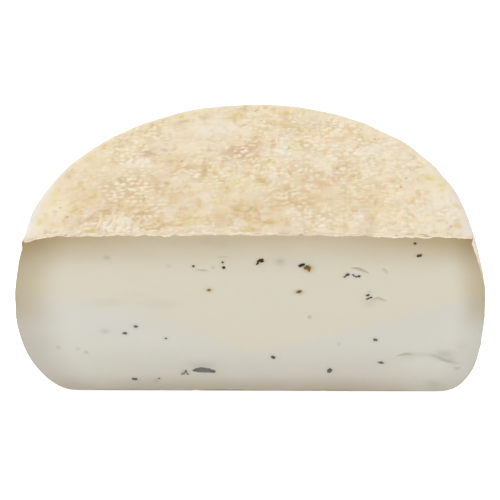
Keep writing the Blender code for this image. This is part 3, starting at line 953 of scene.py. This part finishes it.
# Slits and creases of the cut face: points in millimetres across from the axis and up from the base, the
# widest opening and the depth in millimetres, and how dark the painted shade in each looks.
SLITS = [
    ([(37.4, 60.6), (39.8, 60), (43, 58.1)], 1.3, 0.35, 0.6),
    ([(45, 45.6), (46.7, 46.3), (49.6, 44.9)], 1.2, 0.3, 0.5),
    ([(48.2, 59.9), (49, 59.5), (49.9, 57.9)], 0.8, 0.25, 0.35),
    ([(54, 17.9), (56.9, 18.9), (59.5, 18.9)], 0.9, 0.12, 0.5),
    ([(69.4, 17), (72.4, 15.6), (75.2, 14.9)], 0.9, 0.1, 0.3),
    ([(75.3, 12.6), (76.3, 11.8), (77.5, 12.6)], 1.6, 0.15, 0.35),
    ([(-18.3, 59.6), (-16, 59.3), (-14, 59.2)], 0.9, 0.2, 0.5),
    ([(-10, 65.4), (-8.4, 65.6), (-7, 65.6)], 0.7, 0.2, 0.25),
]

SLIT_REACH = 8
SLIT_SOFTNESS = 0.25

# Low waves all over the cut face, in metres: height, length across, seed and length upwards.
FACE_WAVES = [(0.00012, 0.02, 0.0, 0.012), (0.00003, 0.005, 3.0, 0.002)]

# The upper border of the flap of paste at the lower right, in millimetres across and up.
FOLD_LINE = [
    (54, 18), (57, 18.9), (62.7, 18.9), (66, 18.8), (68.4, 17.8), (70.8, 16.5), (73.2, 15.3), (75.5, 14.4),
]
FOLD_RISE, FOLD_DROP = 0.00035, 0.0002

# Above this line the paste is ivory, and below it greyer.
LOWER_LINE = [(-85, 46), (-60, 44), (-40, 38), (-20, 30), (0, 19), (20, 25), (54, 36), (86, 49)]

# Stains round truffle that lies under the surface, in the terms of the top's marks, but up from the base. The
# spots at 71.5 and 73.5 across are painted shadow above the flap of paste at the lower right.
STAINS_AND_FOLD_SHADOW = [
    (11.8, 63.2, 2, 1.8, 0.35), (11.8, 63.2, 0.8, 0.7, 0.6), (-49.7, 65.1, 1.1, 1, 0.5),
    (-27.8, 61.2, 0.9, 0.8, 0.25), (-12.1, 60.5, 0.6, 0.6, 0.45), (22.1, 36.9, 0.7, 0.7, 0.6),
    (-53.2, 29.8, 1.9, 1.3, 0.28), (-71, 21.6, 0.9, 0.9, 0.4), (-63.8, 21, 0.9, 0.8, 0.25),
    (-60.8, 19.2, 0.8, 0.8, 0.4), (-35.6, 4.8, 1.2, 1, 0.35), (32.7, 23.8, 0.6, 0.6, 0.4),
    (-18, 12.9, 5.5, 2.4, 0.30), (-24.6, 9.5, 1.6, 1.5, 0.4), (43.6, 44.4, 2.4, 2.6, 0.18),
    (43.7, 49.1, 0.7, 0.8, 0.35), (71.5, 18.6, 3.6, 2.4, 0.38), (73.5, 16.6, 2.2, 1.2, 0.3),
    (77.5, 22.5, 2.2, 1.8, 0.12), (67.7, 3.6, 3, 2.2, 0.3), (-50, 44, 8, 2.2, 0.11),
    (-33, 43, 7, 2.4, 0.12), (-9, 71.5, 3.2, 2.6, 0.14), (-40, 47.5, 6, 1.2, 0.06), (-77, 24, 4, 4.5, 0.10),
    (-13.4, 72.3, 2.4, 1.8, 0.16), (58, 17.5, 3, 2.2, 0.08),
]
WARM_STAINS = [
    (21.7, 60.2, 1.9, 1.6, 0.75), (18.3, 48.9, 1.6, 1, 0.75), (-14, 49.8, 1.2, 0.8, 0.75),
    (5, 62.8, 1.6, 1.3, 0.2), (80, 50, 3, 7, 0.12),
]
SMEARS = [
    (-60, 35, 17, 8, 0.8), (-40, 28, 16, 6, 0.5), (77, 30, 8, 9, 0.55), (39, 58.3, 1.6, 1, 0.9),
    (79, 8.5, 4, 5, 1), (64, 14, 8, 4, 0.8), (-18, 15, 8, 2.6, 0.6), (-33.2, 72.3, 0.8, 0.7, 1),
    (60, 3, 8, 2, 0.7), (-8, 3, 3, 1.5, 0.4), (75, 3, 6, 3, 0.7),
]


def fold_rise(across, up):
    """How far the flap of paste at the lower right stands out, or the paste above it falls back."""
    start, end = FOLD_LINE[0][0], FOLD_LINE[-1][0]
    window = soft(across, start - 1, start + 6) * soft(across, end + 4, end - 1)
    if window == 0.0:
        return 0.0
    below = read_off(FOLD_LINE, across) - up
    blend = mix(2.6, 1.0, soft(across, 64, 70))
    outer = FOLD_RISE * math.exp(-((max(0.0, below) / 9) ** 2))
    inner = -FOLD_DROP * math.exp(min(0.0, below) / 3)
    return window * mix(inner, outer, soft(below, -blend / 2, blend / 2))


def cut_face(place):
    """(forward, slit) of the cut face at a place: metres of relief, and how dark the painted shade of a slit
    makes it.
    """
    across, up = place.x * 1000, place.z * 1000
    forward = fold_rise(across, up)
    for height, length, seed, length_up in FACE_WAVES:
        forward += height * noise.noise(Vector((place.x / length, seed, place.z / length_up)))
    slit = 0.0
    for points, opening, depth, darkness in SLITS:
        if math.dist((across, up), points[1]) > SLIT_REACH:
            continue
        gap, share = near_line(across, up, points)
        width = opening / 2 * max(0.15, math.sin(math.pi * share)) + SLIT_SOFTNESS
        inside = soft(gap, width, width * 0.2)
        forward -= depth / 1000 * inside
        slit = max(slit, darkness * inside)
    return forward, slit


PASTE_LAYERS = ("side_gap", "lower", "slit", "stain_and_shadow", "warm_stain", "smear")


def mark_paste(vert, layers, place, reach):
    """Notes on a point of the cut what the paste's finish reads."""
    across, up = place.x * 1000, place.z * 1000
    blend = mix(7.0, 3.5, soft(across, -30, 10))
    vert[layers["side_gap"]] = max(0.0, reach - abs(place.x))
    vert[layers["lower"]] = soft(read_off(LOWER_LINE, across) - up, -blend, blend)
    vert[layers["slit"]] = cut_face(place)[1]
    vert[layers["stain_and_shadow"]] = max(blot(across, up, STAINS_AND_FOLD_SHADOW), blot(across, up, CHIP_HALOS))
    vert[layers["warm_stain"]] = blot(across, up, WARM_STAINS)
    vert[layers["smear"]] = blot(across, up, SMEARS)


def cut_reach(height, side):
    """How far the sharpened cut reaches from the axis at a height. side is 0 for left and 1 for right."""
    rise = (height - HEIGHT) / SHOULDER + 1
    if rise <= 0:
        return side_radius(height, side)
    out = max(0.0, 1 - rise**SHARP_EDGE_POWER) ** (1 / SHARP_EDGE_POWER)
    edge_stretch = side_radius(HEIGHT - SHOULDER, side) / side_radius(HEIGHT - SHOULDER, 0.5)
    return (FLAT_RADIUS + SHOULDER * out) * edge_stretch


# Where the paste's rows lie in the sharp top corners, as shares of the shoulder's height down from the top.
CORNER_ROWS = (0.0, 0.01, 0.03, 0.07, 0.13, 0.21, 0.31, 0.42, 0.54, 0.66, 0.78, 0.9)
PASTE_EDGE_SHARE = 0.04
PASTE_BORDER_DEPTH = 0.0006
BACK_WIDTH_SHARE = 0.985


def make_paste(material):
    """The paste: a grid over the cut face whose rows follow the outline's points, closed to a slab."""
    heights = [HEIGHT - SHOULDER * share for share in CORNER_ROWS]
    heights += [outline_at(run)[1] for run in frange(SHOULDER_RUN, FOOT_RUN, PASTE_SPACING)]
    rows = len(heights) - 1
    bm = bmesh.new()
    bmesh.ops.create_grid(bm, x_segments=PASTE_COLUMNS, y_segments=rows, size=1.0)
    layers = layers_of(bm, *PASTE_LAYERS)
    for vert in bm.verts:
        height = heights[round((1 - vert.co.y) / 2 * rows)]
        reach = cut_reach(height, 1.0 if vert.co.x >= 0 else 0.0)
        rim = 1 - max(abs(vert.co.x), abs(vert.co.y))
        place = Vector((vert.co.x * reach, 0.0, height))
        place.z -= top_drop(place)
        mark_paste(vert, layers, place, reach)
        place.y = -cut_face(place)[0] * soft(rim, 0.0, PASTE_EDGE_SHARE)
        vert.co = place

    def towards_middle(place):
        inward = Vector((-place.x * 2 / WIDEST_RADIUS, 0.0, 1 - place.z * 2 / HEIGHT))
        inward = Vector([max(-1.0, min(1.0, part)) for part in inward])
        return inward * PASTE_BEHIND_RIND + Vector((0.0, PASTE_BORDER_DEPTH, 0.0))

    close_inwards(bm, towards_middle)
    back = max(bm.faces, key=lambda face: len(face.verts))
    made = bmesh.ops.extrude_face_region(bm, geom=[back])
    bmesh.ops.delete(bm, geom=[back], context="FACES_ONLY")
    for vert in new_verts(made):
        vert.co = Vector((vert.co.x * BACK_WIDTH_SHARE, PASTE_SLAB_DEPTH, vert.co.z))
    finish_piece(bm, "paste", material)


# How wide the knife's burr is along the top edge of the cut: millimetres across from the axis, and wide.
BURR_WIDTHS = [
    (-80, 1.5), (-74, 1.6), (-71, 1.4), (-68, 1), (-52, 1), (-44, 0.8), (-40, 1.2), (-34, 1.8), (-28, 1.6),
    (-23, 0.9), (0, 0.7), (20, 0.8), (25, 1.3), (31, 1.5), (38, 1), (44, 1.1), (48, 1.9), (60, 1.4),
    (80, 1.1),
]
RIGHT_EDGE_WIDTHS = [(0, 0.35), (50, 0.3), (58, 0.45), (68, 0.6), (75, 0.65)]
LEFT_EDGE_WIDTH = 0.35
RIGHT_RIND_SHOWS = (50, 66)

# In metres: how far the edge stands out at the sides and along the top, how far it goes back, how far it lies
# over the rind in front and is tucked under it behind, the burr's waves, and how its stretches blend.
EDGE_PROUD = (0.00008, 0.00045)
EDGE_REACH_BACK = 0.0009
EDGE_MARGIN, EDGE_TUCK = 0.00006, 0.00056
BURR_WAVE_LENGTH, BURR_WAVE_DEPTH, BURR_WAVE_RISE = 0.0016, 0.00018, 0.0002
CORNER_BLEND, SHOULDER_BLEND = 0.0006, 0.001

# Cracks and torn places of the burr: millimetres across, half length and darkness.
TORN = [
    (-71.5, 2.6, 0.8), (-66, 1, 0.5), (-21, 2, 0.7), (-18, 1.5, 0.6), (-15, 1.2, 0.6), (5, 4, 0.4),
    (31.2, 1.4, 0.9), (34.5, 2.6, 0.8), (62.6, 1.2, 0.9), (-52, 2, 0.4),
]


def into_cut(even, run, side, on_top):
    """From the cut's outline into the cut: square to the rind, but sideways or down at the shoulder."""
    at_shoulder = Vector((-side, 0.0, 0.0)).lerp(Vector((0.0, 0.0, -1.0)), on_top)
    on_shoulder = soft(run, SHOULDER_RUN + SHOULDER_BLEND, SHOULDER_RUN)
    return (-facing(even)).lerp(at_shoulder, on_shoulder).normalized()


def edge_width(place, side, on_top, rough):
    """How wide the bead along the cut is at a place, in metres."""
    width = read_off(RIGHT_EDGE_WIDTHS, place.z * 1000) if side > 0 else LEFT_EDGE_WIDTH
    return mix(width, read_off(BURR_WIDTHS, place.x * 1000), on_top) * (0.85 + 0.35 * rough) / 1000


def make_cut_edge(material):
    """The rind's own cut edge: a rough bead round the whole cut, drawn out to a burr along the top."""
    bm = bmesh.new()
    bmesh.ops.create_grid(bm, x_segments=EDGE_LOOP_STEPS, y_segments=EDGE_RING_STEPS, size=1.0)
    layers = layers_of(bm, "crust", "torn", *PASTE_LAYERS)
    for vert in bm.verts:
        run = abs(vert.co.x) * WHOLE_RUN
        side = 1.0 if vert.co.x > 0 else -1.0
        even = even_point(run, 0.0 if vert.co.x >= 0 else math.pi)
        even.y = 0.0
        place = rind_point(even)[0]
        on_top = soft(run, CORNER_RUN + CORNER_BLEND, CORNER_RUN - CORNER_BLEND)
        inward = into_cut(even, run, side, on_top)
        rough = noise.noise(place / 0.0031) + 0.7 * noise.noise(place / 0.0012)
        width = edge_width(place, side, on_top, rough)
        proud = mix(*EDGE_PROUD, on_top) * (1 + 0.6 * noise.noise(place / 0.004 + Vector((0, 5, 0))))
        ring = (vert.co.y + 1) * math.pi
        front, deep = math.sin(ring), math.cos(ring)
        margin = EDGE_MARGIN - EDGE_TUCK * max(0.0, -front) * max(0.0, -deep)
        depth = width / 2 - (width / 2 + margin) * deep
        ragged = Vector((place.x / BURR_WAVE_LENGTH, 1.5 * deep, place.z / BURR_WAVE_LENGTH + 1.5 * front))
        depth += BURR_WAVE_DEPTH * on_top * noise.noise(ragged) * (1 - abs(deep) * 0.3)
        forward = -proud * front if front > 0 else EDGE_REACH_BACK * -front
        forward -= BURR_WAVE_RISE * on_top * max(0.0, front) * noise.noise(ragged + Vector((9, 0, 0)))
        across, up = place.x * 1000, place.z * 1000
        mark_paste(vert, layers, place + inward * max(0.0, depth), abs(place.x))
        vert.co = place + inward * depth + Vector((0.0, forward, 0.0))
        flecks = 0.6 * soft(noise.noise(place / 0.006 + Vector((4, 4, 4))), 0.25, 0.5) if up < 1 else 0.0
        right_rind = soft(up, *RIGHT_RIND_SHOWS) if side > 0 else 0.0
        vert[layers["crust"]] = mix(max(right_rind, flecks), 1.0, on_top)
        torn = max(dark * soft(abs(across - middle), half, half * 0.4) for middle, half, dark in TORN)
        inner_band = soft(abs(vert.co.y + 0.55), 0.3, 0.1)
        vert[layers["torn"]] = torn * on_top * inner_band * soft(rough, -0.6, 0.2)
    bmesh.ops.remove_doubles(bm, verts=bm.verts, dist=SAME_POINT / 4)
    finish_piece(bm, "cut_edge", material, 80)


# Truffle on the cut face: millimetres across and up, length and thickness, degrees of turn, and how olive and
# how filmed over with paste it looks, from 0 to 1.
CHIPS = [
    (5, 63.7, 2.5, 1.6, 18, 0, 0), (3.8, 62.4, 1.7, 0.8, 48, 0.1, 0), (19.5, 61.6, 2.8, 1.4, 22, 0, 0),
    (21.5, 60.4, 2.4, 2, -35, 0.9, 0), (22.1, 59, 0.9, 0.6, -60, 1, 0.2),
    (18.4, 49.1, 2.1, 1.1, 22, 0.9, 0.1), (35.7, 57.2, 1.6, 1.2, 25, 0.3, 0.2),
    (34.8, 56.3, 1.3, 0.7, 45, 0.3, 0.3), (37.9, 56.9, 1.5, 0.6, -50, 0.3, 0.45),
    (38.8, 56.2, 1.2, 0.6, 0, 0.3, 0.4), (39.8, 56.4, 1.1, 1, 0, 0.3, 0.15),
    (43, 47.5, 1.5, 0.9, 20, 0.3, 0.2), (43.3, 46, 2.2, 0.7, 35, 0.3, 0.3),
    (44.2, 46.4, 1.1, 0.9, 0, 0.3, 0.2), (60.9, 66, 2.3, 1.1, 18, 0.3, 0.05),
    (59.3, 71.6, 1.2, 0.9, -20, 0.3, 0.2), (-8.3, 60.5, 1.3, 1.3, 60, 0, 0),
    (-8.6, 62.9, 0.9, 0.9, 0, 0.1, 0.2), (-19.1, 61.1, 1, 0.9, 0, 0.2, 0.2),
    (-14, 49.8, 1.3, 0.8, 12, 0.6, 0.25), (-41.6, 32.2, 1.5, 1.2, -20, 0.1, 0.65),
    (-45.8, 28.9, 1.7, 1.2, 8, 0.1, 0.6), (-30.8, 26.4, 1.1, 0.8, 5, 0.1, 0.7),
    (46, 25.9, 1.6, 1.3, -25, 0.1, 0.65), (8.4, 17, 1.8, 1.5, -30, 0.1, 0.4),
    (48.1, 14.5, 2.4, 1.1, -8, 0.4, 0.6), (-17.2, 10.4, 7.2, 2.5, -4, 0, 0.85),
    (-20.6, 10.4, 2.6, 1.3, 2, 0, 0.75), (-14.4, 9.9, 2.4, 1.5, -14, 0, 0.7),
    (-24.3, 9.7, 1.6, 1, 60, 0.2, 0.75), (-25.4, 8.6, 1.6, 0.7, 20, 0.2, 0.85),
    (-23.7, 8.6, 1.4, 0.7, -60, 0.2, 0.85), (29.2, 10.3, 2.3, 1.7, 70, 0.1, 0.5),
    (-43.6, 5.7, 2.3, 1.3, -10, 0.1, 0.6), (-34.5, 6.1, 0.8, 0.6, 0, 0.1, 0.6),
]
HALO_WIDTH, HALO_STRENGTH = 0.5, 0.28
CHIP_HALOS = [
    (across, up, length / 2 + HALO_WIDTH, thickness / 2 + HALO_WIDTH, HALO_STRENGTH)
    for across, up, length, thickness, *_ in CHIPS
]
CHIP_PROUD = 0.00028
CHIP_ROUGHNESS = 0.45
LARGE_CHIP = 2.2


def make_truffle(material):
    """The truffle flakes: flattened, angular lumps, half sunk into the cut face."""
    bm = bmesh.new()
    layers = layers_of(bm, "olive", "film")
    for index, (across, up, length, thickness, turn, olive_share, film_share) in enumerate(CHIPS):
        made = bmesh.ops.create_icosphere(bm, subdivisions=3 if length > LARGE_CHIP else 2, radius=1.0)
        seed = Vector((index * 3.7, index * 1.3, 0.5))
        middle = Vector((across / 1000, 0.0, up / 1000))
        middle.y = -cut_face(middle)[0]
        size = Vector((length / 2000, CHIP_PROUD * mix(1.0, 0.5, film_share), thickness / 2000))
        tilt = Matrix.Rotation(-math.radians(turn), 3, "Y")
        for vert in made["verts"]:
            bulge = noise.noise(vert.co * 1.5 + seed) + 0.5 * noise.noise(vert.co * 3.4 + seed)
            lump = vert.co * (1 + CHIP_ROUGHNESS * bulge)
            vert.co = middle + tilt @ Vector((lump.x * size.x, lump.y * size.y, lump.z * size.z))
            vert[layers["olive"]] = olive_share
            vert[layers["film"]] = film_share
    finish_piece(bm, "truffle_flakes", material)


def place_camera():
    """The camera, where the photograph was taken from."""
    elevation, azimuth, roll = (math.radians(angle) for angle in (VIEW_ELEVATION, VIEW_AZIMUTH, VIEW_ROLL))
    outward = Vector((math.sin(azimuth), -math.cos(azimuth), 0.0))
    back = outward * math.cos(elevation) + Vector((0.0, 0.0, math.sin(elevation)))
    level = Vector((math.cos(azimuth), math.sin(azimuth), 0.0))
    upright = back.cross(level)
    right = level * math.cos(roll) - upright * math.sin(roll)
    up = level * math.sin(roll) + upright * math.cos(roll)
    lens = bpy.data.cameras.new("camera")
    lens.lens = VIEW_LENS
    lens.sensor_width = SENSOR_WIDTH
    camera = in_scene("camera", lens)
    turned = Matrix((right, up, back)).transposed().to_4x4()
    target = Vector(VIEW_TARGET) + Vector((0.0, CUT_Y, 0.0))
    camera.matrix_world = Matrix.Translation(target + back * VIEW_DISTANCE) @ turned
    bpy.context.scene.camera = camera


WORLD_STRENGTH = 0.62
SOFTBOX_PLACE = (-0.27, 0.26, 1.16)
SOFTBOX_SIZE = 0.7
SOFTBOX_POWER = 6.2
FLOOR_SIZE = 6.0
FLOOR_GLOW = 0.55
FLOOR_DROP = 0.0003


def light_scene():
    """Even white light all round, and one softbox above and behind the cheese."""
    world = bpy.data.worlds.new("studio")
    world.use_nodes = True
    background = world.node_tree.nodes["Background"]
    background.inputs["Color"].default_value = (1.0, 1.0, 1.0, 1.0)
    background.inputs["Strength"].default_value = WORLD_STRENGTH
    bpy.context.scene.world = world
    softbox = bpy.data.lights.new("softbox", "AREA")
    softbox.size = SOFTBOX_SIZE
    softbox.energy = SOFTBOX_POWER
    lamp = in_scene("softbox", softbox)
    lamp.location = SOFTBOX_PLACE
    lamp.rotation_euler = (-Vector(SOFTBOX_PLACE)).to_track_quat("-Z", "Y").to_euler()
    bpy.context.scene.view_settings.view_transform = "Standard"


def make_floor():
    """A plain white floor that glows a little, so that shadows on it stay faint."""
    finish = Finish("white_floor")
    finish.set(Base_Color=(0.9, 0.9, 0.9, 1.0), Roughness=0.9, Emission_Color=(1.0, 1.0, 1.0, 1.0))
    finish.set(Emission_Strength=FLOOR_GLOW)
    bm = bmesh.new()
    bmesh.ops.create_grid(bm, x_segments=1, y_segments=1, size=FLOOR_SIZE / 2)
    floor = as_object(bm, "floor", finish.material)
    floor.location.z = -FLOOR_DROP


place_camera()
light_scene()
make_floor()
rind = rind_finish()
make_rind_top(rind)
make_rind_side(rind)
make_rind_base(rind)
make_paste(paste_finish())
make_cut_edge(edge_finish())
make_truffle(truffle_finish())
